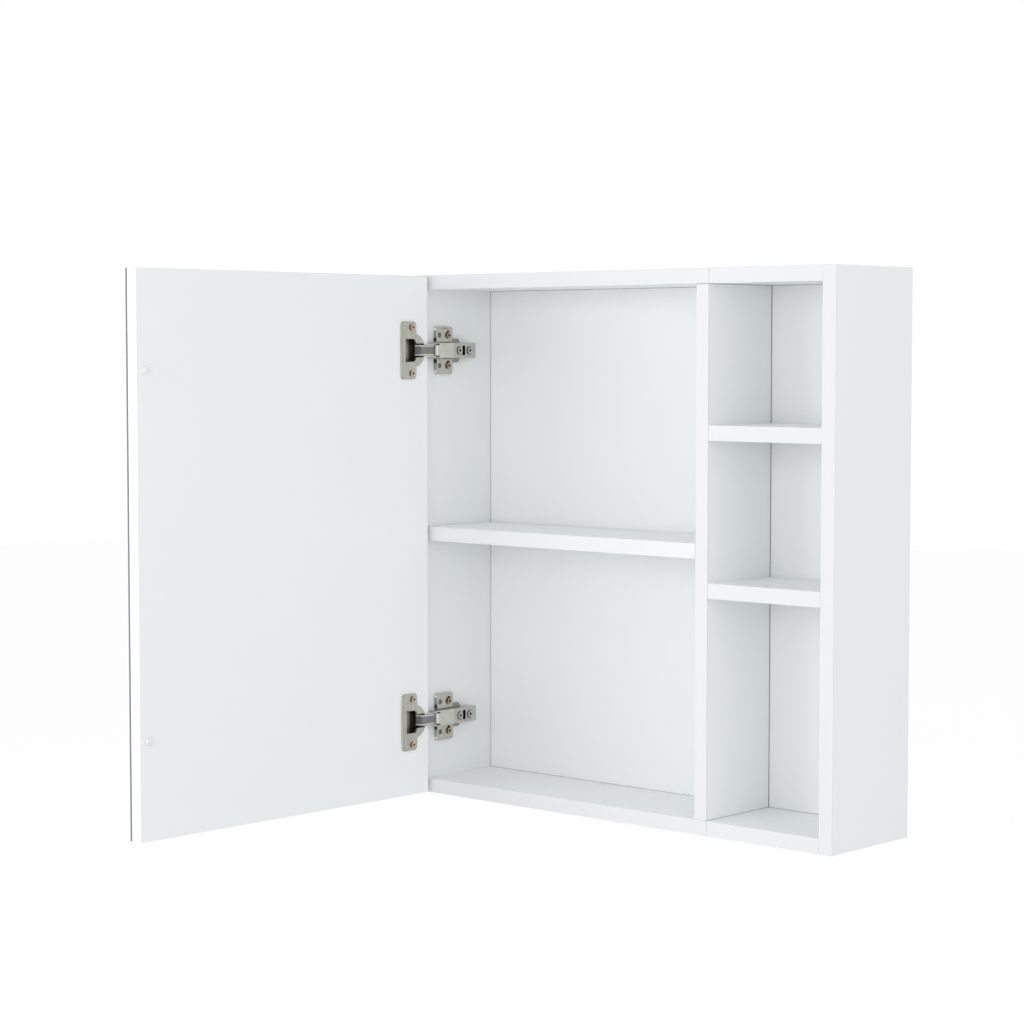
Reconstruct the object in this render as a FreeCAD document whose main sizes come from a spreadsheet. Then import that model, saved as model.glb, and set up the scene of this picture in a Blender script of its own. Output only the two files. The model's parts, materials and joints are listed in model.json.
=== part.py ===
import FreeCAD, Part
import math
import os
import Sketcher
from FreeCAD import Placement, Rotation, Vector

# Wall-hung mirror cabinet. Millimetres, X to the right, Y towards the wall, Z up.
# The origin lies on the wall plane, midway between the two hanging holes.
doc = FreeCAD.newDocument("mirror_cabinet")
sheet = doc.addObject("Spreadsheet::Sheet", "Sizes")
aliases = []
nodes = []


class Size:
    """A measure that carries its number and the formula that follows the size sheet."""

    def __init__(self, formula, number):
        self.formula = formula
        self.number = number

    def __add__(self, other):
        other = as_size(other)
        return Size(f"({self.formula} + {other.formula})", self.number + other.number)

    def __sub__(self, other):
        other = as_size(other)
        return Size(f"({self.formula} - {other.formula})", self.number - other.number)

    def __mul__(self, other):
        other = as_size(other)
        return Size(f"({self.formula} * {other.formula})", self.number * other.number)

    def __truediv__(self, other):
        other = as_size(other)
        return Size(f"({self.formula} / {other.formula})", self.number / other.number)

    def __neg__(self):
        return self * -1

    def __radd__(self, other):
        return as_size(other) + self

    def __rsub__(self, other):
        return as_size(other) - self

    def __rmul__(self, other):
        return as_size(other) * self


def as_size(value):
    if isinstance(value, Size):
        return value
    return Size(f"({value})", value)


def sine(angle):
    return Size(f"sin({angle.formula})", math.sin(math.radians(angle.number)))


def cosine(angle):
    return Size(f"cos({angle.formula})", math.cos(math.radians(angle.number)))


def size(alias, number):
    aliases.append(alias)
    cell = f"B{len(aliases)}"
    sheet.set(f"A{len(aliases)}", alias.replace("_", " "))
    sheet.set(cell, str(number))
    sheet.setAlias(cell, alias)
    return Size(f"Sizes.{alias}", number)


def bind(thing, **values):
    for name, value in values.items():
        thing.setExpression(name.replace("__", "."), as_size(value).formula)


def box(x, y, z, along_x, along_y, along_z):
    solid = doc.addObject("Part::Box", "Block")
    bind(solid, Length=along_x, Width=along_y, Height=along_z,
         Placement__Base__x=x, Placement__Base__y=y, Placement__Base__z=z)
    return solid


AXIS_TURN = {
    "x": Rotation(Vector(0, 1, 0), 90),
    "y": Rotation(Vector(1, 0, 0), -90),
    "z": Rotation(),
}


def rod(axis, x, y, z, radius, length):
    solid = doc.addObject("Part::Cylinder", "Rod")
    solid.Placement = Placement(Vector(), AXIS_TURN[axis])
    bind(solid, Radius=radius, Height=length,
         Placement__Base__x=x, Placement__Base__y=y, Placement__Base__z=z)
    return solid


def fuse(members):
    if len(members) == 1:
        return members[0]
    solid = doc.addObject("Part::MultiFuse", "Joined")
    solid.Shapes = members
    return solid


def cut(base, tools):
    solid = doc.addObject("Part::Cut", "Bored")
    solid.Base = base
    solid.Tool = fuse(tools)
    return solid


def group(members):
    solid = doc.addObject("Part::Compound", "Set")
    solid.Links = members
    return solid


def node(label, solid, frame):
    solid.Label = label
    turn, x, y, z = frame
    if turn is not None:
        solid.Placement = Placement(Vector(), Rotation(Vector(0, 0, -1), turn.number))
        bind(solid, Placement__Rotation__Angle=turn)
    bind(solid, Placement__Base__x=x, Placement__Base__y=y, Placement__Base__z=z)
    nodes.append(solid)
    return solid


def sketch_on(body, name, plane, offset):
    sketch = body.newObject("Sketcher::SketchObject", name)
    plane = [item for item in body.Origin.OriginFeatures if item.Role == plane][0]
    sketch.AttachmentSupport = [(plane, "")]
    sketch.MapMode = "FlatFace"
    bind(sketch, AttachmentOffset__Base__z=offset)
    return sketch


def pin_point(sketch, edge, end, x, y):
    for kind, value in (("DistanceX", x), ("DistanceY", y)):
        number = as_size(value).number
        index = sketch.addConstraint(Sketcher.Constraint(kind, -1, 1, edge, end, number))
        sketch.setExpression(f"Constraints[{index}]", as_size(value).formula)


def outline(sketch, points):
    corners = [Vector(as_size(x).number, as_size(y).number, 0) for x, y in points]
    count = len(corners)
    for start in range(count):
        sketch.addGeometry(Part.LineSegment(corners[start], corners[(start + 1) % count]))
    for start in range(count):
        sketch.addConstraint(Sketcher.Constraint("Coincident", start, 2, (start + 1) % count, 1))
    for start, (x, y) in enumerate(points):
        pin_point(sketch, start, 1, x, y)


def circles(sketch, centres, radius):
    for edge, (x, y) in enumerate(centres):
        centre = Vector(as_size(x).number, as_size(y).number, 0)
        sketch.addGeometry(Part.Circle(centre, Vector(0, 0, 1), radius.number))
        pin_point(sketch, edge, 3, x, y)
        index = sketch.addConstraint(Sketcher.Constraint("Radius", edge, radius.number))
        sketch.setExpression(f"Constraints[{index}]", radius.formula)


def pad(body, name, sketch, length, side="One side"):
    feature = body.newObject("PartDesign::Pad", name)
    feature.Profile = sketch
    feature.SideType = side
    bind(feature, Length=length)
    doc.recompute()
    return feature


def pocket(body, name, sketch, length):
    feature = body.newObject("PartDesign::Pocket", name)
    feature.Profile = sketch
    feature.SideType = "Symmetric"
    bind(feature, Length=length)
    doc.recompute()
    return feature


def round_edges(body, name, feature, wanted, radius):
    edges = []
    for number, edge in enumerate(feature.Shape.Edges, start=1):
        if wanted(edge.CenterOfMass, edge.Vertexes):
            edges.append(f"Edge{number}")
    rounding = body.newObject("PartDesign::Fillet", name)
    rounding.Base = (feature, edges)
    bind(rounding, Radius=radius)
    doc.recompute()
    return rounding


# Carcass boards.
width = size("width", 540)
height = size("height", 550)
depth = size("depth", 127)
board = size("board", 15)
left_bay = size("left_bay", 362.5)
recess = size("recess", 22.5)
back_sheet = size("back_sheet", 3)
groove_depth = size("groove_depth", 7)
groove_play = size("groove_play", 0.15)
rear_play = size("rear_play", 0.3)
left_shelf_height = size("left_shelf_height", 269.3)
lower_shelf_height = size("lower_shelf_height", 231.6)
upper_shelf_height = size("upper_shelf_height", 384.1)
shelf_end_gap = size("shelf_end_gap", 1)
shelf_setback = size("shelf_setback", 1)

# Fittings that hold the boards together.
support_radius = size("support_radius", 2.5)
support_reach = size("support_reach", 8)
support_inset = size("support_inset", 22)
support_roof = size("support_roof", 5.4)
cam_radius = size("cam_radius", 7.5)
cam_height = size("cam_height", 12)
cam_reach = size("cam_reach", 24)
cam_slot = size("cam_slot", 1.8)
cam_cross = size("cam_cross", 10.5)
cam_front = size("cam_front", 30)
cam_back = size("cam_back", 13.5)
bolt_radius = size("bolt_radius", 3)
bolt_bore_radius = size("bolt_bore_radius", 4)
bolt_neck_radius = size("bolt_neck_radius", 2.6)
bolt_head_radius = size("bolt_head_radius", 3.5)
bolt_head_length = size("bolt_head_length", 4)
bolt_seat = size("bolt_seat", 11)
dowel_radius = size("dowel_radius", 4)
dowel_seat = size("dowel_seat", 10)
dowel_shelf = size("dowel_shelf", 20)
shelf_dowel_inset = size("shelf_dowel_inset", 25)
divider_screw_length = size("divider_screw_length", 48)
divider_screw_radius = size("divider_screw_radius", 3)
divider_head_radius = size("divider_head_radius", 5)
divider_head_height = size("divider_head_height", 3)

# Hanging brackets on the wall side of the back panel.
hanger_drop = size("hanger_drop", 45)
hanger_inset = size("hanger_inset", 35)
hanger_steel = size("hanger_steel", 2)
hanger_tall = size("hanger_tall", 44)
hanger_edge = size("hanger_edge", 14)
hanger_clearance = size("hanger_clearance", 2.5)
keyhole_radius = size("keyhole_radius", 5)
keyslot_radius = size("keyslot_radius", 2.4)
keyslot_rise = size("keyslot_rise", 12)
wood_screw_length = size("wood_screw_length", 13)
wood_screw_radius = size("wood_screw_radius", 1.8)
screw_head_radius = size("screw_head_radius", 3.4)
screw_head_height = size("screw_head_height", 1.6)
screw_cross = size("screw_cross", 1.2)
cross_share = size("cross_share", 1.1)

# Door, standing open as in the photo, and its one swing axis.
door_angle = size("door_angle", 90.67)
door_reveal = size("door_reveal", 1)
door_gap = size("door_gap", 4)
door_end_gap = size("door_end_gap", 1.25)
door_board_thick = size("door_board_thick", 13)
door_arris = size("door_arris", 1)
tape_thick = size("tape_thick", 0.5)
tape_wide = size("tape_wide", 25)
tape_inset = size("tape_inset", 40)
mirror_thick = size("mirror_thick", 3)
pole_along = size("pole_along", 10.4)
pole_depth = size("pole_depth", 11.2)
bumper_radius = size("bumper_radius", 4)
bumper_thick = size("bumper_thick", 3.6)
bumper_inset = size("bumper_inset", 10)
bumper_height = size("bumper_height", 98)

# Hinge: cup in the door, plate and arm on the side panel, levers between them.
hinge_inset = size("hinge_inset", 79)
cup_centre = size("cup_centre", 23)
cup_radius = size("cup_radius", 17.5)
cup_depth = size("cup_depth", 11.5)
cup_wall = size("cup_wall", 0.8)
cup_rim = size("cup_rim", 0.5)
flange_steel = size("flange_steel", 2)
flange_start = size("flange_start", 18.6)
flange_wide = size("flange_wide", 22)
flange_tall = size("flange_tall", 60.6)
flange_corner = size("flange_corner", 4)
mouth_end = size("mouth_end", 34)
mouth_tall = size("mouth_tall", 23.4)
mouth_bend = size("mouth_bend", 21)
throat_start = size("throat_start", 18)
lip_steel = size("lip_steel", 1.3)
notch_tall = size("notch_tall", 14.6)
cup_screw_along = size("cup_screw_along", 24.9)
cup_screw_span = size("cup_screw_span", 48)
plate_steel = size("plate_steel", 3)
wing_steel = size("wing_steel", 4.4)
wing_clearance = size("wing_clearance", 0.6)
plate_start = size("plate_start", 12)
wing_deep = size("wing_deep", 25)
wing_tall = size("wing_tall", 50.5)
wing_corner = size("wing_corner", 3)
shoulder_tall = size("shoulder_tall", 25.4)
shoulder_deep = size("shoulder_deep", 10)
shoulder_slope = size("shoulder_slope", 4)
tail_tall = size("tail_tall", 14)
tail_deep = size("tail_deep", 26.8)
plate_screw_deep = size("plate_screw_deep", 30)
plate_screw_span = size("plate_screw_span", 32)
plate_slot_half = size("plate_slot_half", 2.4)
plate_slot_below = size("plate_slot_below", 1)
plate_slot_above = size("plate_slot_above", 3)
plate_hole_deep = size("plate_hole_deep", 16.6)
plate_hole_span = size("plate_hole_span", 32.4)
plate_hole_radius = size("plate_hole_radius", 2.6)
ridge_start = size("ridge_start", 20)
ridge_deep = size("ridge_deep", 43)
ridge_tall = size("ridge_tall", 11.6)
arm_rise = size("arm_rise", 10.7)
arm_steel = size("arm_steel", 1.2)
arm_cheek = size("arm_cheek", 1)
arm_tall = size("arm_tall", 16.2)
arm_foot = size("arm_foot", 3.3)
arm_start = size("arm_start", 0.5)
nose_start = size("nose_start", 5.6)
nose_tall = size("nose_tall", 11)
nose_drop = size("nose_drop", 2.7)
nose_clearance = size("nose_clearance", 2.6)
arm_end = size("arm_end", 65)
nose_slot_end = size("nose_slot_end", 9.2)
arm_slot_deep = size("arm_slot_deep", 46.5)
arm_slot_wide = size("arm_slot_wide", 4.4)
arm_slot_tall = size("arm_slot_tall", 10)
adjust_screw_deep = size("adjust_screw_deep", 40.1)
fixing_screw_deep = size("fixing_screw_deep", 55.5)
arm_screw_radius = size("arm_screw_radius", 2)
arm_head_radius = size("arm_head_radius", 3.8)
arm_head_height = size("arm_head_height", 1.4)
spring_steel = size("spring_steel", 0.8)
spring_tall = size("spring_tall", 7)
pin_radius = size("pin_radius", 1)
pin_play = size("pin_play", 0.05)
outer_pin_rise = size("outer_pin_rise", 6.4)
outer_pin_deep = size("outer_pin_deep", 12)
inner_pin_rise = size("inner_pin_rise", 5.5)
inner_pin_deep = size("inner_pin_deep", 3.2)
outer_pin_share = size("outer_pin_share", 0.8)
outer_cup_depth = size("outer_cup_depth", 6.2)
inner_pin_share = size("inner_pin_share", 0.63)
inner_cup_depth = size("inner_cup_depth", 7.6)
cup_pin_share = size("cup_pin_share", 0.51)
cup_stub_share = size("cup_stub_share", 0.72)
lever_tall = size("lever_tall", 11.5)
lever_ear = size("lever_ear", 1.2)
lever_lift = size("lever_lift", 0.5)
lever_steel = size("lever_steel", 1.4)
lever_leg = size("lever_leg", 1.2)
lever_slope = size("lever_slope", 4)
notch_drop = size("notch_drop", 0.1)
notch_run = size("notch_run", 3.7)
neck_run = size("neck_run", 8)
outer_eye = size("outer_eye", 2.2)
outer_slot_back = size("outer_slot_back", 2.9)
outer_slot_front = size("outer_slot_front", 1.1)
outer_slot_side = size("outer_slot_side", 0.85)
lever_wall = size("lever_wall", 0.9)
strap_start = size("strap_start", 6)
strap_steel = size("strap_steel", 0.9)
inner_eye = size("inner_eye", 1.9)
strap_leg = size("strap_leg", 1)
toe_tip = size("toe_tip", 2.4)
toe_side = size("toe_side", 1)
toe_root = size("toe_root", 1.5)
doc.recompute()

# Measures that follow from the sizes.
right_face = width - board
top_face = height - board
divider_start = board + left_bay
right_start = divider_start + board
right_bay = width - board - right_start
hang_height = height - hanger_drop
back_inset = depth - recess - back_sheet
board_depth = back_inset - rear_play
cam_rear = back_inset - cam_back
corner_dowel = (cam_front + cam_rear) / 2
shelf_dowel_places = (shelf_dowel_inset, back_inset - shelf_dowel_inset)
hanger_leg = recess - hanger_clearance
inner_height = height - 2 * board
shelf_heights = [lower_shelf_height, upper_shelf_height]
upper_hinge = height - hinge_inset
lower_hinge = hinge_inset
pole_x = door_reveal + pole_along
pole_y = -door_gap - pole_depth
corner_x = pole_x - pole_along * cosine(door_angle) + pole_depth * sine(door_angle)
corner_y = pole_y + pole_along * sine(door_angle) + pole_depth * cosine(door_angle)
outer_cup_along = cup_centre - cup_radius * outer_pin_share
inner_cup_along = cup_centre - cup_radius * inner_pin_share
door_width = divider_start + board - 2 * door_reveal
door_height = height - 2 * door_end_gap
cabinet_frame = (None, -width / 2, -depth, -hang_height)
door_frame = (door_angle, corner_x - width / 2, corner_y - depth, -hang_height)


def in_door(x, y):
    across = x - corner_x
    back = y - corner_y
    along = across * cosine(door_angle) - back * sine(door_angle)
    out = across * sine(door_angle) + back * cosine(door_angle)
    return along, out


def screw(axis, x, y, z, sense, length, radius, head_radius, head_height):
    """A pan-head screw whose head top is at the point and whose shank runs along the axis."""
    step = {"x": (1, 0, 0), "y": (0, 1, 0), "z": (0, 0, 1)}[axis]

    def shifted(distance):
        return [as_size(value) + distance * amount for value, amount in zip((x, y, z), step)]

    head_from = as_size(0) if sense > 0 else -head_height
    shank_from = head_height if sense > 0 else -length
    head = rod(axis, *shifted(head_from), head_radius, head_height)
    shank = rod(axis, *shifted(shank_from), radius, length - head_height)
    recess_from = as_size(0) if sense > 0 else -screw_cross
    across = head_radius * cross_share
    tools = []
    for wide in (0, 1):
        spans = []
        starts = []
        free = wide
        for value, amount in zip(shifted(recess_from), step):
            if amount:
                spans.append(screw_cross)
                starts.append(value)
            else:
                span = across if free == 0 else screw_cross
                spans.append(span)
                starts.append(value - span / 2)
                free = 1 - free
        tools.append(box(*starts, *spans))
    return cut(fuse([head, shank]), tools)


def wood_screw(axis, x, y, z, sense):
    return screw(axis, x, y, z, sense, wood_screw_length, wood_screw_radius, screw_head_radius,
                 screw_head_height)


# Side panels: bored for the corner fittings, grooved for the back panel.
corner_bolts = []
corner_dowels = []
corner_cams = []
side_bores = {0: [], 1: []}
end_bores = {0: [], 1: []}
for upper in (0, 1):
    middle = top_face + board / 2 if upper else board / 2
    for right in (0, 1):
        end = right_face if right else board
        inward = -1 if right else 1
        for place in (cam_front, cam_rear):
            seat = end if right else end - bolt_seat
            side_bores[right].append(rod("x", seat, place, middle, bolt_radius, bolt_seat))
            shank = cam_reach - bolt_head_length
            shank_from = end - shank if right else end
            head_from = end - cam_reach if right else end + shank
            corner_bolts.append(fuse([
                rod("x", seat, place, middle, bolt_radius, bolt_seat),
                rod("x", shank_from, place, middle, bolt_neck_radius, shank),
                rod("x", head_from, place, middle, bolt_head_radius, bolt_head_length),
            ]))
            bore_from = end - cam_reach if right else end
            end_bores[upper].append(rod("x", bore_from, place, middle, bolt_bore_radius, cam_reach))
            cam_x = end + inward * cam_reach
            cam_z = height - cam_height if upper else as_size(0)
            end_bores[upper].append(rod("z", cam_x, place, cam_z, cam_radius, cam_height))
            slot_z = height - cam_slot if upper else as_size(0)
            entry = end - cam_reach if right else end + cam_reach - cam_radius - 1
            corner_cams.append(cut(rod("z", cam_x, place, cam_z, cam_radius, cam_height), [
                rod("x", entry, place, middle, bolt_bore_radius, cam_radius + 1),
                box(cam_x - cam_cross / 2, place - cam_slot / 2, slot_z, cam_cross, cam_slot, cam_slot),
                box(cam_x - cam_slot / 2, place - cam_cross / 2, slot_z, cam_slot, cam_cross, cam_slot),
            ]))
        dowel_from = end - dowel_shelf if right else end - dowel_seat
        length = dowel_seat + dowel_shelf
        corner_dowels.append(rod("x", dowel_from, corner_dowel, middle, dowel_radius, length))
        side_bores[right].append(rod("x", dowel_from, corner_dowel, middle, dowel_radius, length))
        end_bores[upper].append(rod("x", dowel_from, corner_dowel, middle, dowel_radius, length))

groove_wide = back_sheet + 2 * groove_play
groove_y = back_inset - groove_play
groove_low = board - groove_depth
groove_tall = inner_height + 2 * groove_depth
hanger_screws = []
hanger_pilots = {0: [], 1: []}
hanger_y = depth - hanger_leg / 2
for right in (0, 1):
    head_rise = hanger_steel + screw_head_height
    head_x = right_face - head_rise if right else board + head_rise
    sense = 1 if right else -1
    for shift in (-hanger_edge, hanger_edge):
        level = hang_height + shift
        hanger_screws.append(wood_screw("x", head_x, hanger_y, level, sense))
        pilot_x = head_x if right else head_x - wood_screw_length
        pilot = rod("x", pilot_x, hanger_y, level, wood_screw_radius, wood_screw_length)
        hanger_pilots[right].append(pilot)

# Loose shelf on four pins that sit in grooves of its underside; fixed shelves on dowels.
shelf_depth = back_inset - 2 * shelf_setback
support_pins = []
support_bores = {0: [], 1: []}
pin_grooves = []
groove_half = support_radius + groove_play
for at_divider in (0, 1):
    face = divider_start if at_divider else board
    groove_from = face - support_reach - groove_play if at_divider else face
    for place in (support_inset, shelf_setback + shelf_depth - support_inset):
        level = left_shelf_height + support_roof - support_radius
        pin_grooves.append(box(groove_from, place - groove_half, left_shelf_height,
                               support_reach + groove_play, 2 * groove_half, support_roof))
        start = face - support_reach
        support_pins.append(rod("x", start, place, level, support_radius, 2 * support_reach))
        support_bores[at_divider].append(rod("x", start, place, level, support_radius, 2 * support_reach))

shelf_dowels = []
dowel_bores = {0: [], 1: []}
shelf_bores = []
for shelf_height in shelf_heights:
    bores = []
    for right in (0, 1):
        face = right_face if right else right_start
        start = face - dowel_shelf if right else face - dowel_seat
        for place in shelf_dowel_places:
            level = shelf_height + board / 2
            span = dowel_seat + dowel_shelf
            shelf_dowels.append(rod("x", start, place, level, dowel_radius, span))
            dowel_bores[right].append(rod("x", start, place, level, dowel_radius, span))
            bores.append(rod("x", start, place, level, dowel_radius, span))
    shelf_bores.append(bores)

# Screws through the top and bottom panels into the ends of the divider.
divider_middle = divider_start + board / 2
divider_screws = []
divider_bores = []
for upper in (0, 1):
    level = height if upper else as_size(0)
    sense = -1 if upper else 1
    for place in shelf_dowel_places:
        divider_screws.append(screw("z", divider_middle, place, level, sense, divider_screw_length,
                                    divider_screw_radius, divider_head_radius, divider_head_height))
        shank_z = height - divider_screw_length if upper else as_size(0)
        head_z = height - divider_head_height if upper else as_size(0)
        for bores in (divider_bores, end_bores[upper]):
            bores.append(rod("z", divider_middle, place, shank_z, divider_screw_radius,
                             divider_screw_length))
        end_bores[upper].append(rod("z", divider_middle, place, head_z, divider_head_radius,
                                    divider_head_height))

plate_pilots = []
for level in (upper_hinge, lower_hinge):
    for shift in (-plate_screw_span / 2, plate_screw_span / 2):
        reach = wood_screw_length - screw_head_height - wing_steel
        plate_pilots.append(rod("x", board - reach, plate_screw_deep, level + shift, wood_screw_radius,
                                reach))

for right, label in ((0, "left_side_panel"), (1, "right_side_panel")):
    start = right_face if right else as_size(0)
    groove_x = right_face if right else board - groove_depth
    tools = [box(groove_x, groove_y, groove_low, groove_depth, groove_wide, groove_tall)]
    tools += side_bores[right] + hanger_pilots[right]
    tools += dowel_bores[1] if right else support_bores[0] + plate_pilots
    node(label, cut(box(start, 0, 0, board, depth, height), tools), cabinet_frame)

for upper, label in ((1, "top_panel"), (0, "bottom_panel")):
    start = top_face if upper else as_size(0)
    groove_z = top_face if upper else board - groove_depth
    tools = [box(board, groove_y, groove_z, width - 2 * board, groove_wide, groove_depth)]
    tools += end_bores[upper]
    node(label, cut(box(board, 0, start, width - 2 * board, depth, board), tools), cabinet_frame)

node("divider_panel", cut(
    box(divider_start, 0, board, board, board_depth, inner_height),
    divider_bores + support_bores[1] + dowel_bores[0],
), cabinet_frame)
back_spare = groove_depth - groove_play
node("back_panel", group([box(
    board - back_spare, back_inset, board - back_spare,
    width - 2 * board + 2 * back_spare, back_sheet, inner_height + 2 * back_spare,
)]), cabinet_frame)
node("left_shelf", cut(box(
    board + shelf_end_gap, shelf_setback, left_shelf_height,
    left_bay - 2 * shelf_end_gap, shelf_depth, board,
), pin_grooves), cabinet_frame)
shelf_labels = ("right_lower_shelf", "right_upper_shelf")
for label, shelf_height, bores in zip(shelf_labels, shelf_heights, shelf_bores):
    slab = box(right_start, 0, shelf_height, right_bay, board_depth, board)
    node(label, cut(slab, bores), cabinet_frame)
node("shelf_support_pins", group(support_pins), cabinet_frame)
node("corner_cams", group(corner_cams), cabinet_frame)
node("corner_bolts", group(corner_bolts), cabinet_frame)
node("corner_dowels", group(corner_dowels), cabinet_frame)
node("shelf_dowels", group(shelf_dowels), cabinet_frame)
node("divider_screws", group(divider_screws), cabinet_frame)

# Hanging brackets: folded steel angles with a keyhole facing the wall.
hole_inset = hanger_inset - board
for right, label in ((0, "left_hanging_bracket"), (1, "right_hanging_bracket")):
    face = right_face if right else board
    inward = -1 if right else 1
    body = doc.addObject("PartDesign::Body", "Bracket")
    angle = sketch_on(body, "AngleOutline", "XY_Plane", hang_height)
    inner = face + inward * hanger_steel
    far = face + inward * (hole_inset + hanger_edge)
    outline(angle, [(face, depth - hanger_leg), (inner, depth - hanger_leg), (inner, depth - hanger_steel),
                    (far, depth - hanger_steel), (far, depth), (face, depth)])
    pad(body, "Angle", angle, hanger_tall, "Symmetric")
    hole_x = face + inward * hole_inset
    entry = sketch_on(body, "EntryOutline", "XZ_Plane", 0)
    circles(entry, [(hole_x, hang_height)], keyhole_radius)
    pocket(body, "Entry", entry, 4 * depth)
    slot = sketch_on(body, "SlotOutline", "XZ_Plane", 0)
    outline(slot, [(hole_x - keyslot_radius, hang_height), (hole_x + keyslot_radius, hang_height),
                   (hole_x + keyslot_radius, hang_height + keyslot_rise),
                   (hole_x - keyslot_radius, hang_height + keyslot_rise)])
    pocket(body, "Slot", slot, 4 * depth)
    slot_end = sketch_on(body, "SlotEndOutline", "XZ_Plane", 0)
    circles(slot_end, [(hole_x, hang_height + keyslot_rise)], keyslot_radius)
    pocket(body, "SlotEnd", slot_end, 4 * depth)
    pilots = sketch_on(body, "ScrewOutline", "YZ_Plane", face)
    circles(pilots, [(hanger_y, hang_height - hanger_edge), (hanger_y, hang_height + hanger_edge)],
            wood_screw_radius)
    pocket(body, "ScrewHoles", pilots, 4 * hanger_steel)
    node(label, body, cabinet_frame)
node("hanging_screws", group(hanger_screws), cabinet_frame)

# Door board, mirror, tape and bumpers, drawn as if shut: X along the door, Y towards the cabinet.
door_body = doc.addObject("PartDesign::Body", "DoorBlank")
door_outline = sketch_on(door_body, "DoorOutline", "XY_Plane", door_end_gap)
outline(door_outline, [(0, 0), (0, -door_board_thick), (door_width, -door_board_thick), (door_width, 0)])
door_pad = pad(door_body, "DoorSlab", door_outline, door_height)


def on_inner_face(centre, corners):
    return all(abs(corner.Point.y) < 1e-6 for corner in corners) and abs(centre.y) < 1e-6


round_edges(door_body, "DoorArris", door_pad, on_inner_face, door_arris)
door_tools = []
for level in (upper_hinge, lower_hinge):
    door_tools.append(rod("y", cup_centre, -cup_depth, level, cup_radius, cup_depth + 1))
    for shift in (-cup_screw_span / 2, cup_screw_span / 2):
        reach = wood_screw_length - screw_head_height - flange_steel
        door_tools.append(rod("y", cup_screw_along, -reach, level + shift, wood_screw_radius, reach + 1))
node("door_board", cut(door_body, door_tools), door_frame)
tape_tall = door_height - 2 * tape_inset
tape_step = (door_width - 2 * tape_inset - tape_wide) / 3
tapes = []
for strip in range(4):
    tapes.append(box(tape_inset + strip * tape_step, -door_board_thick - tape_thick,
                     door_end_gap + tape_inset, tape_wide, tape_thick, tape_tall))
node("mirror_tape", group(tapes), door_frame)
node("mirror_glass", group([box(
    0, -door_board_thick - tape_thick - mirror_thick, door_end_gap, door_width, mirror_thick, door_height,
)]), door_frame)
bumpers = []
for level in (bumper_height, height - bumper_height):
    bumpers.append(rod("y", door_width - bumper_inset, 0, level, bumper_radius, bumper_thick))
node("door_bumpers", group(bumpers), door_frame)


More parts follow.
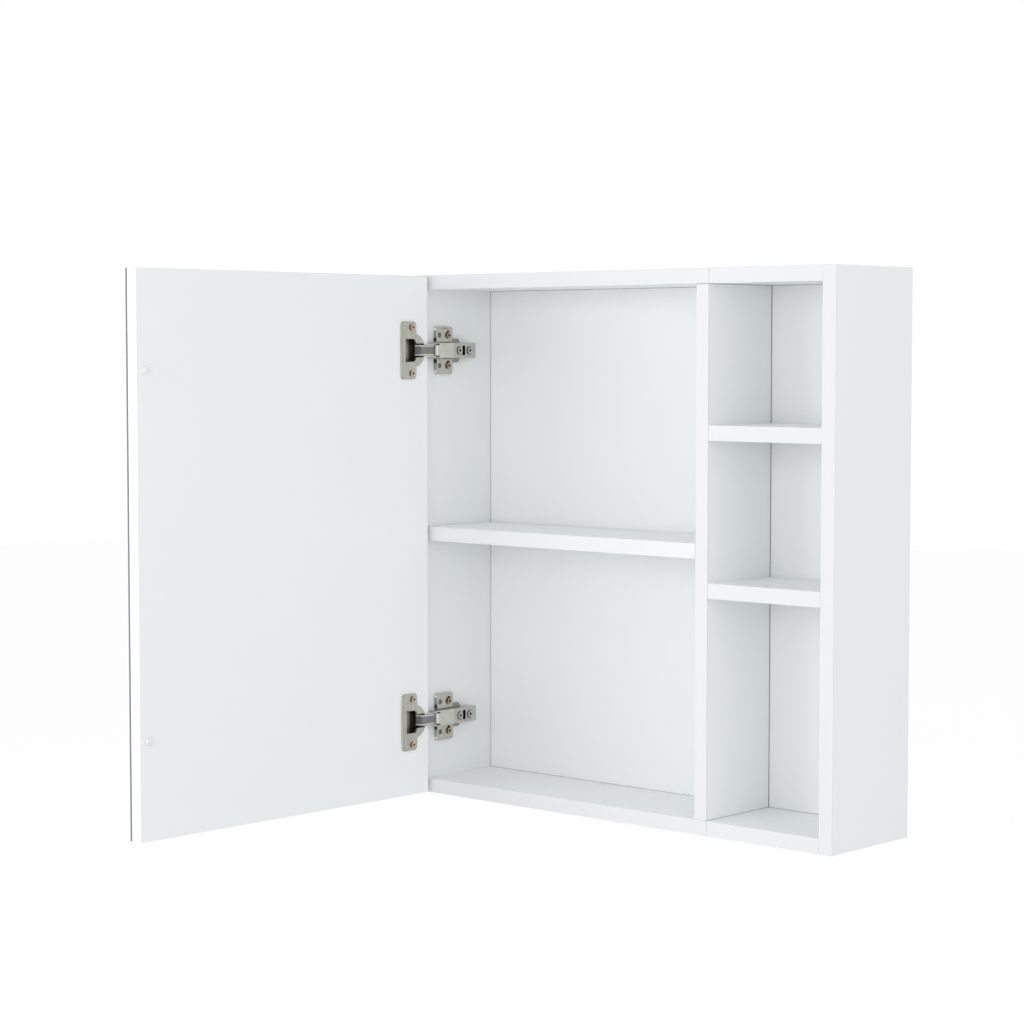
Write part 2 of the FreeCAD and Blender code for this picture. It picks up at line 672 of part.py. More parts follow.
def hinge(prefix, level):
    """One concealed hinge whose middle plane is at the given height."""
    arm_under = board + arm_rise
    arm_top = arm_under + arm_steel
    half_arm = arm_tall / 2
    outer_pin_x = board + outer_pin_rise
    inner_pin_x = board + inner_pin_rise
    cheek_inside = half_arm - arm_cheek
    strap_end = strap_start + strap_steel
    web_low = lever_lift
    web_high = lever_lift + lever_steel

    # Mounting plate: a cross with rounded wings, a raised ridge and a tapering tail.
    plate = doc.addObject("PartDesign::Body", "Plate")
    cross = sketch_on(plate, "CrossOutline", "YZ_Plane", board)
    wing_end = plate_start + wing_deep
    tail_end = wing_end + tail_deep
    lower_half = [(plate_start, -wing_tall / 2), (wing_end, -wing_tall / 2), (wing_end, -shoulder_tall / 2),
                  (wing_end + shoulder_deep, -shoulder_tall / 2),
                  (wing_end + shoulder_deep + shoulder_slope, -tail_tall / 2), (tail_end, -tail_tall / 2)]
    upper_half = [(deep, -rise) for deep, rise in reversed(lower_half)]
    outline(cross, [(deep, level + rise) for deep, rise in lower_half + upper_half])
    wing_pad = pad(plate, "Cross", cross, plate_steel)
    wing_from = half_arm + wing_clearance
    for side in (-1, 1):
        wing = sketch_on(plate, "WingOutline", "YZ_Plane", board)
        outline(wing, [(plate_start, level + side * wing_from), (wing_end, level + side * wing_from),
                       (wing_end, level + side * wing_tall / 2), (plate_start, level + side * wing_tall / 2)])
        wing_pad = pad(plate, "Wing", wing, wing_steel)
    wing_reach = wing_tall.number / 2

    def at_wing_corner(centre, corners):
        runs_out = abs(corners[0].Point.x - corners[-1].Point.x) > 1
        return runs_out and abs(abs(centre.z - level.number) - wing_reach) < 0.1

    round_edges(plate, "WingCorners", wing_pad, at_wing_corner, wing_corner)
    ridge = sketch_on(plate, "RidgeOutline", "YZ_Plane", board)
    ridge_end = ridge_start + ridge_deep
    outline(ridge, [(ridge_start, level - ridge_tall / 2), (ridge_end, level - ridge_tall / 2),
                    (ridge_end, level + ridge_tall / 2), (ridge_start, level + ridge_tall / 2)])
    pad(plate, "Ridge", ridge, arm_rise)
    screw_levels = (level - plate_screw_span / 2, level + plate_screw_span / 2)
    slot_front = plate_screw_deep - plate_slot_half
    slot_rear = plate_screw_deep + plate_slot_half
    for screw_level in screw_levels:
        low = screw_level - plate_slot_below
        high = screw_level + plate_slot_above
        slot = sketch_on(plate, "SlotOutline", "YZ_Plane", board)
        outline(slot, [(slot_front, low), (slot_rear, low), (slot_rear, high), (slot_front, high)])
        pocket(plate, "ScrewSlot", slot, 4 * wing_steel)
        slot_ends = sketch_on(plate, "SlotEndOutline", "YZ_Plane", board)
        circles(slot_ends, [(plate_screw_deep, low), (plate_screw_deep, high)], plate_slot_half)
        pocket(plate, "SlotEnds", slot_ends, 4 * wing_steel)
    wing_holes = sketch_on(plate, "HoleOutline", "YZ_Plane", board)
    circles(wing_holes, [(plate_hole_deep, level - plate_hole_span / 2),
                         (plate_hole_deep, level + plate_hole_span / 2)], plate_hole_radius)
    pocket(plate, "WingHoles", wing_holes, 4 * wing_steel)
    arm_holes = sketch_on(plate, "ArmScrewOutline", "YZ_Plane", board)
    circles(arm_holes, [(adjust_screw_deep, level), (fixing_screw_deep, level)], arm_screw_radius)
    pocket(plate, "ArmScrewHoles", arm_holes, 4 * arm_rise)
    slot_from = arm_slot_deep - arm_slot_wide / 2
    slot_to = arm_slot_deep + arm_slot_wide / 2
    well = sketch_on(plate, "WellOutline", "YZ_Plane", board)
    outline(well, [(slot_from, level - arm_slot_tall / 2), (slot_to, level - arm_slot_tall / 2),
                   (slot_to, level + arm_slot_tall / 2), (slot_from, level + arm_slot_tall / 2)])
    pocket(plate, "Well", well, 4 * arm_rise)
    node(f"{prefix}_mounting_plate", plate, cabinet_frame)
    screws = []
    for screw_level in screw_levels:
        screws.append(wood_screw("x", board + wing_steel + screw_head_height, plate_screw_deep,
                                 screw_level, -1))
    node(f"{prefix}_plate_screws", group(screws), cabinet_frame)

    # Arm: a channel over the plate's ridge, its nose open for the levers.
    arm_parts = [
        box(arm_under, nose_start, level - half_arm, arm_steel, arm_end - nose_start, arm_tall),
        box(board + arm_foot, arm_start, level - half_arm, arm_rise + arm_steel - arm_foot,
            arm_end - arm_start, arm_cheek),
        box(board + arm_foot, arm_start, level + cheek_inside, arm_rise + arm_steel - arm_foot,
            arm_end - arm_start, arm_cheek),
        box(arm_under - nose_drop, nose_start, level - nose_tall / 2, nose_drop, arm_steel, nose_tall),
    ]
    slot_tall = cheek_inside - nose_tall / 2
    slot_deep = nose_slot_end - nose_start
    arm_tools = [
        box(arm_under, nose_start, level - cheek_inside, arm_steel, slot_deep, slot_tall),
        box(arm_under, nose_start, level + nose_tall / 2, arm_steel, slot_deep, slot_tall),
        box(arm_under, slot_from, level - arm_slot_tall / 2, arm_steel, arm_slot_wide, arm_slot_tall),
        rod("z", outer_pin_x, outer_pin_deep, level - half_arm, pin_radius, arm_tall),
        rod("z", inner_pin_x, inner_pin_deep, level - half_arm, pin_radius, arm_tall),
        rod("x", arm_under, adjust_screw_deep, level, arm_screw_radius, arm_steel),
        rod("x", arm_under, fixing_screw_deep, level, arm_screw_radius, arm_steel),
    ]
    node(f"{prefix}_hinge_arm", cut(fuse(arm_parts), arm_tools), cabinet_frame)
    node(f"{prefix}_arm_pins", group([
        rod("z", outer_pin_x, outer_pin_deep, level - half_arm, pin_radius, arm_tall),
        rod("z", inner_pin_x, inner_pin_deep, level - half_arm, pin_radius, half_arm - strap_start),
        rod("z", inner_pin_x, inner_pin_deep, level + strap_start, pin_radius, half_arm - strap_start),
    ]), cabinet_frame)
    node(f"{prefix}_arm_screws", group([
        screw("x", arm_top + arm_head_height, deep, level, -1, arm_rise + arm_head_height, arm_screw_radius,
              arm_head_radius, arm_head_height)
        for deep in (adjust_screw_deep, fixing_screw_deep)
    ]), cabinet_frame)
    node(f"{prefix}_closing_spring", group([
        box(arm_under - spring_steel, nose_start + arm_steel, level - spring_tall / 2, spring_steel,
            ridge_start - nose_start - arm_steel, spring_tall),
    ]), cabinet_frame)

    # Cup: a shallow pot with a flange on the door's inner face; its mouth narrows to a notch for the levers.
    inner_radius = cup_radius - cup_wall
    flange = doc.addObject("PartDesign::Body", "Flange")
    plan = sketch_on(flange, "FlangeOutline", "XZ_Plane", 0)
    flange_end = flange_start + flange_wide
    outline(plan, [(flange_start, level - flange_tall / 2), (flange_end, level - flange_tall / 2),
                   (flange_end, level + flange_tall / 2), (flange_start, level + flange_tall / 2)])
    slab = pad(flange, "FlangeSlab", plan, 2 * flange_steel, "Symmetric")

    def at_flange_corner(centre, corners):
        return abs(corners[0].Point.y - corners[-1].Point.y) > 0.5

    round_edges(flange, "FlangeCorners", slab, at_flange_corner, flange_corner)
    upper_side = box(flange_start - cup_radius, 0, level - flange_tall, 3 * cup_radius, flange_steel,
                     2 * flange_tall)
    flange_plate = doc.addObject("Part::Common", "FlangePlate")
    flange_plate.Base = flange
    flange_plate.Tool = upper_side
    cup_parts = [
        flange_plate,
        rod("y", cup_centre, -cup_depth, level, cup_radius, cup_depth),
        rod("y", cup_centre, 0, level, cup_radius + cup_rim, lip_steel),
    ]
    mouth = doc.addObject("PartDesign::Body", "Mouth")
    mouth_plan = sketch_on(mouth, "MouthOutline", "XZ_Plane", 0)
    outline(mouth_plan, [(mouth_end, level - mouth_tall / 2), (mouth_end, level + mouth_tall / 2),
                         (mouth_bend, level + mouth_tall / 2), (throat_start, level + notch_tall / 2),
                         (throat_start, level - notch_tall / 2), (mouth_bend, level - mouth_tall / 2)])
    pad(mouth, "MouthBlank", mouth_plan, 2 * flange_steel, "Symmetric")
    notch_start = cup_centre - cup_radius - 2 * cup_rim
    notch_wide = throat_start - notch_start
    notch_deep = cup_depth - 2 * cup_wall
    cup_tools = [
        rod("y", cup_centre, cup_wall - cup_depth, level, inner_radius, cup_depth - cup_wall),
        mouth,
        box(notch_start, -notch_deep, level - notch_tall / 2, notch_wide, notch_deep + flange_steel,
            notch_tall),
    ]
    pin_reach = cup_radius * cup_pin_share
    stub_reach = cup_radius * cup_stub_share
    pins = [
        (outer_cup_along, outer_cup_depth, -pin_reach, 2 * pin_reach),
        (inner_cup_along, inner_cup_depth, -stub_reach, stub_reach - strap_start),
        (inner_cup_along, inner_cup_depth, strap_start, stub_reach - strap_start),
    ]
    pin_rods = [rod("z", along, -down, level + low, pin_radius, span) for along, down, low, span in pins]
    cup_tools += [rod("z", along, -down, level + low, pin_radius, span) for along, down, low, span in pins]
    screws = []
    for shift in (-cup_screw_span / 2, cup_screw_span / 2):
        cup_tools.append(rod("y", cup_screw_along, 0, level + shift, wood_screw_radius, flange_steel))
        screws.append(wood_screw("y", cup_screw_along, flange_steel + screw_head_height, level + shift,
                                 -1))
    node(f"{prefix}_hinge_cup", cut(fuse(cup_parts), cup_tools), door_frame)
    node(f"{prefix}_cup_pins", group(pin_rods), door_frame)
    node(f"{prefix}_cup_screws", group(screws), door_frame)

    # Outer lever: a web between two ears, turning on the cup pin and slotted over the arm pin.
    pin_along, pin_out = in_door(outer_pin_x, outer_pin_deep)
    slot_half = pin_radius + outer_slot_side
    ear_half = slot_half + lever_wall
    ear_end = pin_along - outer_slot_front - pin_radius - lever_wall
    leg_near = outer_cup_along - lever_leg
    leg_far = outer_cup_along + lever_leg
    slope_foot = outer_cup_along + lever_slope
    notch_out = pin_out - notch_drop
    notch_end = pin_along + notch_run
    web_end = in_door(outer_pin_x, nose_start - nose_clearance)[0]
    lever = doc.addObject("PartDesign::Body", "OuterLever")
    profile = sketch_on(lever, "LeverOutline", "XY_Plane", level)
    outline(profile, [
        (leg_near, -outer_cup_depth), (slope_foot, -outer_cup_depth), (leg_far, web_high),
        (web_end, web_high), (web_end, notch_out), (notch_end, notch_out), (notch_end, pin_out + ear_half),
        (ear_end, pin_out + ear_half), (ear_end, pin_out - ear_half),
        (pin_along + outer_slot_back + pin_radius, pin_out - ear_half),
        (web_end + neck_run, web_low), (leg_near, web_low),
    ])
    pad(lever, "LeverBlank", profile, lever_tall, "Symmetric")
    eyes = sketch_on(lever, "EyeOutline", "XY_Plane", level)
    circles(eyes, [(outer_cup_along, -outer_cup_depth)], outer_eye)
    pad(lever, "Eyes", eyes, lever_tall, "Symmetric")
    hollow = sketch_on(lever, "HollowOutline", "XY_Plane", level)
    beyond = ear_end - lever_wall
    below = -outer_cup_depth - 2 * outer_eye
    outline(hollow, [
        (slope_foot - lever_steel, below), (slope_foot - lever_steel, -outer_cup_depth),
        (leg_far - lever_steel, web_low), (web_end, web_low),
        (web_end, web_high + lever_steel), (beyond, web_high + lever_steel), (beyond, below),
    ])
    pocket(lever, "Hollow", hollow, lever_tall - 2 * lever_ear)
    bore = sketch_on(lever, "BoreOutline", "XY_Plane", level)
    circles(bore, [(outer_cup_along, -outer_cup_depth)], pin_radius + pin_play)
    pocket(lever, "Bore", bore, 2 * lever_tall)
    slot = sketch_on(lever, "SlotOutline", "XY_Plane", level)
    slot_low = pin_along - outer_slot_front - pin_radius
    slot_high = pin_along + outer_slot_back + pin_radius
    outline(slot, [(slot_low, pin_out - slot_half), (slot_high, pin_out - slot_half),
                   (slot_high, pin_out + slot_half), (slot_low, pin_out + slot_half)])
    pocket(lever, "Slot", slot, 2 * lever_tall)
    node(f"{prefix}_outer_lever", lever, door_frame)

    # Inner levers: a strap on each side, turning on the cup stubs, its toe bearing on the arm stubs.
    toe_along, toe_out = in_door(inner_pin_x, inner_pin_deep)
    toe_low = toe_out + pin_radius + toe_side
    tip_at = toe_along - toe_tip
    straps = []
    for low in (level - strap_end, level + strap_start):
        blank = fuse([
            rod("z", inner_cup_along, -inner_cup_depth, low, inner_eye, strap_steel),
            box(inner_cup_along - strap_leg, -inner_cup_depth, low, 2 * strap_leg,
                inner_cup_depth + web_high, strap_steel),
            box(tip_at, web_low, low, inner_cup_along - tip_at, lever_steel, strap_steel),
            box(tip_at, toe_low, low, -toe_root - tip_at, web_high - toe_low, strap_steel),
        ])
        straps.append(cut(blank, [
            rod("z", inner_cup_along, -inner_cup_depth, low, pin_radius + pin_play, strap_steel),
        ]))
    node(f"{prefix}_inner_levers", group(straps), door_frame)


hinge("upper", upper_hinge)
hinge("lower", lower_hinge)

doc.recompute()
for item in doc.Objects:
    if "Invalid" in item.State or "Error" in item.State:
        raise RuntimeError(f"{item.Name} {item.Label} did not rebuild: {item.State}")
os.makedirs("parts", exist_ok=True)
for item in nodes:
    if item.Shape.isNull() or not item.Shape.isValid():
        raise RuntimeError(f"{item.Label} has no valid shape")
    item.Shape.exportStep(f"parts/{item.Label}.step")
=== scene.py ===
import json
import math

import bpy
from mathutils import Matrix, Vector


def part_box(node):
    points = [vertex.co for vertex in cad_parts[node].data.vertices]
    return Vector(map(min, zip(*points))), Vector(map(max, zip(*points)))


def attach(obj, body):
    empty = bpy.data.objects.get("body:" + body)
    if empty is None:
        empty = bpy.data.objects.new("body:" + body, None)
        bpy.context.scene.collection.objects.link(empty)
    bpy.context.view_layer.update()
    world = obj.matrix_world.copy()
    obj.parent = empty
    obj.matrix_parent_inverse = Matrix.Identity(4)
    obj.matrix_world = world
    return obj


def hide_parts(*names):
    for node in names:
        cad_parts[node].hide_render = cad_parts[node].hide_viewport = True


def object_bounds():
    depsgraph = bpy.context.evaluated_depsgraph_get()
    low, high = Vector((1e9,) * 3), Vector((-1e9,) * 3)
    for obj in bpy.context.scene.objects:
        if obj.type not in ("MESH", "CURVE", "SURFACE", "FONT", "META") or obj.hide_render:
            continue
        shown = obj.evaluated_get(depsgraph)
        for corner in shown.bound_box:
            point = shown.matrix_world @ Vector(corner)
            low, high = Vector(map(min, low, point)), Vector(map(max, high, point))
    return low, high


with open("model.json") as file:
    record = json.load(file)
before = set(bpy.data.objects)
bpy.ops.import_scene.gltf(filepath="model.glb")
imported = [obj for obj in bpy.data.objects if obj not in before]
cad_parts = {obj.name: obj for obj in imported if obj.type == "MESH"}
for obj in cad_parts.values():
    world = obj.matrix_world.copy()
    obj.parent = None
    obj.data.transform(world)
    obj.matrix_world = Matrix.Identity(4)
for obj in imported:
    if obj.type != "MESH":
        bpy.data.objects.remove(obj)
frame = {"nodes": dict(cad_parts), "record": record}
cad_low, cad_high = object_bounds()


# Carcass boards: two sides, top, bottom and divider, white melamine on chipboard, held by cams and dowels.
# Each is the CAD board with its sharp edges eased by a bevel. Its front edge has a band of its own, and dark
# hairlines show where the bands and the boards meet.
MM = 0.001
MERGE_WITHIN = 0.003 * MM
FLAT_WITHIN = math.radians(0.4)
SHARP_FROM = math.radians(38)
ROUND_FROM = math.radians(30)
SMOOTH_UNDER = math.radians(35)
BEVEL_STEPS = 2
FLAT_WEIGHT = 90
FACING = 0.9
BODY_OF = {node: body for body, nodes in frame["record"]["behaviour"]["bodies"].items() for node in nodes}


class Wire:
    """A shader socket; plain arithmetic on it adds Math nodes, and node() adds any other node."""

    def __init__(self, tree, socket):
        self.tree = tree
        self.socket = socket

    def node(self, kind, settings, inputs, output=0):
        made = self.tree.nodes.new(kind)
        for name, value in settings.items():
            setattr(made, name, value)
        for name, value in inputs.items():
            if isinstance(value, Wire):
                self.tree.links.new(value.socket, made.inputs[name])
            else:
                made.inputs[name].default_value = value
        return Wire(self.tree, made.outputs[output])

    def math(self, operation, first, second=0.0):
        return self.node("ShaderNodeMath", {"operation": operation}, {0: first, 1: second})

    def vector_math(self, operation, other, output="Vector"):
        return self.node("ShaderNodeVectorMath", {"operation": operation}, {0: self, 1: other}, output)

    def __add__(self, other):
        return self.math("ADD", self, other)

    def __sub__(self, other):
        return self.math("SUBTRACT", self, other)

    def __mul__(self, other):
        return self.math("MULTIPLY", self, other)

    def __truediv__(self, other):
        return self.math("DIVIDE", self, other)

    def __rsub__(self, other):
        return self.math("SUBTRACT", other, self)

    def __rtruediv__(self, other):
        return self.math("DIVIDE", other, self)

    __radd__ = __add__
    __rmul__ = __mul__

    def size(self):
        return self.math("ABSOLUTE", self)

    def clipped(self):
        return self.node("ShaderNodeClamp", {}, {"Value": self})

    def ramp(self, start, width):
        """0 up to a place, then rising to 1 over a width; a negative width rises the other way."""
        return ((self - start) / width).clipped()

    def stripe(self, at, half, crisp=1.5):
        """1 near a place and 0 away from it; a higher crisp makes the stripe wider."""
        return (crisp - (self - at).size() / half).clipped()

    def axis(self, letter):
        return self.node("ShaderNodeSeparateXYZ", {}, {0: self}, output=letter)

    def stretched(self, scale):
        return self.vector_math("MULTIPLY", scale)

    def noise(self, scale, detail=2.0, roughness=0.5):
        inputs = {"Vector": self, "Scale": scale, "Detail": detail, "Roughness": roughness}
        return self.node("ShaderNodeTexNoise", {}, inputs)

    def blend(self, low, high):
        colours = {"Factor": self, 6: low, 7: high}
        return self.node("ShaderNodeMix", {"data_type": "RGBA"}, colours, output=2)

    def bump(self, depth):
        inputs = {"Height": self, "Distance": depth, "Strength": 1.0}
        return self.node("ShaderNodeBump", {}, inputs)


class Finish:
    """A material with one Principled shader; place is the piece's own coordinates in metres."""

    def __init__(self, name, **values):
        self.material = bpy.data.materials.new(name)
        self.material.use_nodes = True
        tree = self.material.node_tree
        self.shader = next(n for n in tree.nodes if n.type == "BSDF_PRINCIPLED")
        coordinates = tree.nodes.new("ShaderNodeTexCoord")
        self.place = Wire(tree, coordinates.outputs["Object"])
        for socket, value in values.items():
            self.set(socket.replace("_", " "), value)

    def set(self, socket, value):
        if isinstance(value, Wire):
            value.tree.links.new(value.socket, self.shader.inputs[socket])
        else:
            self.shader.inputs[socket].default_value = value


def box_mm(node):
    """The lowest and the highest corner of a CAD node, in mm."""
    low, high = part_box(node)
    return low / MM, high / MM


def activate(piece):
    bpy.ops.object.select_all(action="DESELECT")
    piece.select_set(True)
    bpy.context.view_layer.objects.active = piece


def cleaned_copy(node, name):
    """A new piece with a CAD node's mesh: facets merged, flat triangles joined to whole faces."""
    piece = bpy.data.objects.new(name, frame["nodes"][node].data.copy())
    bpy.context.scene.collection.objects.link(piece)
    activate(piece)
    bpy.ops.mesh.customdata_custom_splitnormals_clear()
    bpy.ops.object.mode_set(mode="EDIT")
    bpy.ops.mesh.select_all(action="SELECT")
    bpy.ops.mesh.remove_doubles(threshold=MERGE_WITHIN)
    bpy.ops.mesh.dissolve_limited(angle_limit=FLAT_WITHIN)
    bpy.ops.mesh.normals_make_consistent(inside=False)
    bpy.ops.object.mode_set(mode="OBJECT")
    return piece


def ease_edges(piece, ease):
    """Rounds the sharp edges of a piece and shades the curved faces smooth."""
    activate(piece)
    bevel = piece.modifiers.new("eased", "BEVEL")
    bevel.width = ease
    bevel.segments = BEVEL_STEPS
    bevel.limit_method = "ANGLE"
    bevel.angle_limit = SHARP_FROM
    bevel.use_clamp_overlap = False
    bpy.ops.object.modifier_apply(modifier=bevel.name)
    bpy.ops.object.shade_smooth_by_angle(angle=SMOOTH_UNDER)
    weighted = piece.modifiers.new("flat_faces", "WEIGHTED_NORMAL")
    weighted.keep_sharp = True
    weighted.weight = FLAT_WEIGHT
    bpy.ops.object.modifier_apply(modifier=weighted.name)


def round_where(piece, wanted, width, steps):
    """Rounds the sharp edges whose two ends, in mm, pass the test."""
    mesh = piece.data
    beside = {}
    for face in mesh.polygons:
        for key in face.edge_keys:
            beside.setdefault(key, []).append(face.normal.copy())
    activate(piece)
    bpy.ops.object.mode_set(mode="EDIT")
    bpy.ops.mesh.select_mode(type="EDGE")
    bpy.ops.mesh.select_all(action="DESELECT")
    bpy.ops.object.mode_set(mode="OBJECT")
    for edge in mesh.edges:
        normals = beside[edge.key]
        sharp = len(normals) == 2 and normals[0].angle(normals[1], 0.0) > ROUND_FROM
        edge.select = sharp and all(wanted(mesh.vertices[end].co / MM) for end in edge.vertices)
    bpy.ops.object.mode_set(mode="EDIT")
    bpy.ops.mesh.bevel(offset=width, segments=steps, affect="EDGES", clamp_overlap=False)
    bpy.ops.object.mode_set(mode="OBJECT")


def repaint(piece, finish, wanted):
    """Gives another finish to the faces whose middle, in mm, and normal pass the test."""
    piece.data.materials.append(finish.material)
    number = len(piece.data.materials) - 1
    for face in piece.data.polygons:
        if wanted(face.center / MM, face.normal):
            face.material_index = number


def eased_piece(node, finish, ease, roundings=()):
    """The finished piece for a CAD node; each rounding is a test of edges, a width and a number of steps."""
    piece = cleaned_copy(node, node + "_finish")
    for wanted, width, steps in roundings:
        round_where(piece, wanted, width, steps)
    ease_edges(piece, ease)
    piece.data.materials.clear()
    piece.data.materials.append(finish.material)
    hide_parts(node)
    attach(piece, BODY_OF[node])
    return piece


BOARD_EASE = 0.35 * MM
BAND_THICK = 1.0
BAND_PLAY = 0.3
TONE_STEP = 0.02
WHITE = (0.903, 0.924, 0.932)
# Painted shade: the left side panel takes a darker copy of the white melamine.
LEFT_SHADED_WHITE = (0.845, 0.866, 0.875)
# The bands are darker than the faces: a slight tint of their own, with painted shade laid over it.
BAND_WHITE = (0.826, 0.833, 0.853)
SEAM_TONE = (0.06, 0.062, 0.06, 1)
FRONT = box_mm("left_side_panel")[0].y
INNER_LEFT = box_mm("left_side_panel")[1].x
INNER_RIGHT = box_mm("right_side_panel")[0].x
INNER_LOW = box_mm("bottom_panel")[1].z
INNER_HIGH = box_mm("top_panel")[0].z
DIVIDER_LEFT = box_mm("divider_panel")[0].x
DIVIDER_RIGHT = box_mm("divider_panel")[1].x


def seams(place, lines):
    """1 on thin lines; each is an axis, a place and a half width in mm, and a strength."""
    total = 0.0
    for letter, at, half, strength in lines:
        total = place.axis(letter).stripe(at * MM, half * MM) * strength + total
    return total.clipped()


def band_line(front):
    """The faint hairline where a board's face meets the band on its front edge."""
    return ("Y", front + BAND_THICK, 0.12, 0.35)


def melamine(name, lines=(), white=WHITE):
    """White satin melamine; lines are the dark hairlines of edge bands and joints."""
    finish = Finish(name, Specular_IOR_Level=0.42)
    cloud = finish.place.noise(7.0, detail=3.0)
    speckle = finish.place.noise(1400.0)
    tone = (cloud * 0.7 + speckle * 0.3).clipped()
    lighter = [share + TONE_STEP for share in white]
    colour = tone.blend((*white, 1), (*lighter, 1))
    if lines:
        colour = seams(finish.place, lines).blend(colour, SEAM_TONE)
    finish.set("Base Color", colour)
    finish.set("Roughness", finish.place.noise(900.0, detail=3.0) * 0.12 + 0.36)
    finish.set("Normal", finish.place.noise(650.0, detail=3.0, roughness=0.55).bump(0.012 * MM))
    return finish


def banded(piece, band):
    """Gives the front edge of a board its own band."""
    front = min(vertex.co.y for vertex in piece.data.vertices) / MM
    repaint(piece, band, lambda middle, normal: normal.y < -FACING and middle.y < front + BAND_PLAY)


front_joints = [("X", INNER_LEFT, 0.35, 0.9), ("X", INNER_RIGHT, 0.15, 0.7), ("X", DIVIDER_RIGHT, 0.2, 0.6)]
divider_ends = [("Z", INNER_LOW, 0.32, 1.0), ("Z", INNER_HIGH, 0.4, 1.0)]
edge_band = melamine("white_edge_band", front_joints, BAND_WHITE)
left_white_shaded = melamine("white_left_side_shaded", [band_line(FRONT)], LEFT_SHADED_WHITE)
banded(eased_piece("left_side_panel", left_white_shaded, BOARD_EASE), edge_band)
side_white = melamine("white_side", [band_line(FRONT)])
banded(eased_piece("right_side_panel", side_white, BOARD_EASE), edge_band)
level_white = melamine("white_level", [band_line(FRONT)])
for board in ("top_panel", "bottom_panel"):
    banded(eased_piece(board, level_white, BOARD_EASE), edge_band)
divider_white = melamine("white_divider", [band_line(FRONT), *divider_ends])
banded(eased_piece("divider_panel", divider_white, BOARD_EASE), edge_band)


# Back panel: a 3 mm white lacquered hardboard sheet that slides in the grooves of the carcass.
# The CAD sheet with eased edges and the faint pressed texture of lacquered board. Its front has dark
# hairlines where the boards meet it, the joints darkened with painted shade in these inner corners; its rear
# is plain and duller.
BACK_DARK = (0.878, 0.897, 0.903, 1)
BACK_LIGHT = (0.898, 0.915, 0.920, 1)


def lacquer(name, fine, roughness, lines=()):
    """White lacquer; fine is the share of fine speckle in its tone, lines are dark hairlines of joints with
    painted shade.
    """
    finish = Finish(name, Specular_IOR_Level=0.4)
    cloud = finish.place.noise(9.0, detail=3.0)
    tone = (cloud * (1 - fine) + finish.place.noise(2100.0) * fine).clipped()
    colour = tone.blend(BACK_DARK, BACK_LIGHT)
    if lines:
        colour = seams(finish.place, lines).blend(colour, SEAM_TONE)
    finish.set("Base Color", colour)
    finish.set("Roughness", finish.place.noise(1200.0) * 0.14 + roughness)
    finish.set("Normal", finish.place.noise(1100.0, roughness=0.6).bump(0.014 * MM))
    return finish


# Painted shade: dark lines in the inner corners where the boards meet the back, over the joints.
back_shade_lines = [("X", INNER_LEFT, 0.3, 0.65), ("X", DIVIDER_LEFT, 0.3, 0.7), ("X", DIVIDER_RIGHT, 0.45, 1.0),
              ("X", INNER_RIGHT, 0.3, 0.8), ("Z", INNER_LOW, 0.3, 0.75), ("Z", INNER_HIGH, 0.35, 0.9)]
back_white = lacquer("white_back", fine=0.4, roughness=0.40, lines=back_shade_lines)
back_rear = lacquer("white_back_rear", fine=0.0, roughness=0.48)
back = eased_piece("back_panel", back_rear, ease=0.2 * MM)
repaint(back, back_white, lambda middle, normal: normal.y < -FACING)


# Shelves: one loose shelf on four pins in the wide bay, two doweled shelves in the narrow bay.
# Eased melamine boards with banded front edges; the loose shelf stands further back and its band has less
# painted shade, so it is a shade lighter. The pins are nickel-plated steel.
SHELF_FRONT = box_mm("left_shelf")[0].y
# The loose shelf's band is given less painted shade than the carcass bands.
SHELF_BAND_WHITE = (0.874, 0.881, 0.902)
shelf_white = melamine("white_shelf", [band_line(SHELF_FRONT)])
shelf_band = melamine("white_shelf_band", white=SHELF_BAND_WHITE)
banded(eased_piece("left_shelf", shelf_white, BOARD_EASE), shelf_band)
for board in ("right_upper_shelf", "right_lower_shelf"):
    banded(eased_piece(board, level_white, BOARD_EASE), edge_band)


def plated(name, dark, light, roughness, grain, marks=()):
    """Plated steel: a tone between two colours with fine tumbled grain, then any shaded marks."""
    finish = Finish(name, Metallic=1.0)
    cloud = finish.place.noise(120.0, detail=3.0)
    speckle = finish.place.noise(grain)
    tone = (cloud * 0.6 + speckle * 0.4).clipped()
    colour = tone.blend(dark, light)
    for where, shade in marks:
        colour = where(finish.place).blend(colour, shade)
    finish.set("Base Color", colour)
    finish.set("Roughness", speckle * 0.16 + roughness)
    finish.set("Normal", finish.place.noise(grain, roughness=0.6).bump(0.006 * MM))
    return finish


NICKEL_DARK = (0.43, 0.418, 0.365, 1)
NICKEL_LIGHT = (0.665, 0.648, 0.575, 1)
nickel = plated("nickel_steel", NICKEL_DARK, NICKEL_LIGHT, roughness=0.20, grain=1400.0)
eased_piece("shelf_support_pins", nickel, ease=0.15 * MM)


# Joinery of the carcass: cam locks and their bolts, beech dowels and the four divider screws.
# The CAD hardware with eased edges; zinc-plated cams and bolts, yellowish plated screws, bare beech.
zinc = plated("zinc_steel", (0.52, 0.54, 0.56, 1), (0.70, 0.72, 0.73, 1), roughness=0.28, grain=900.0)
screw_steel = plated("screw_steel", (0.58, 0.46, 0.32, 1), (0.85, 0.74, 0.58, 1),
                     roughness=0.24, grain=1600.0)
beech = Finish("beech", Roughness=0.62)
fibre = beech.place.noise(1560.0, detail=4.0, roughness=0.6)
beech.set("Base Color", fibre.blend((0.52, 0.34, 0.19, 1), (0.72, 0.53, 0.34, 1)))
beech.set("Normal", fibre.bump(0.03 * MM))
eased_piece("corner_cams", zinc, ease=0.2 * MM)
eased_piece("corner_bolts", zinc, ease=0.12 * MM)
eased_piece("corner_dowels", beech, ease=0.3 * MM)
eased_piece("shelf_dowels", beech, ease=0.3 * MM)
eased_piece("divider_screws", screw_steel, ease=0.12 * MM)


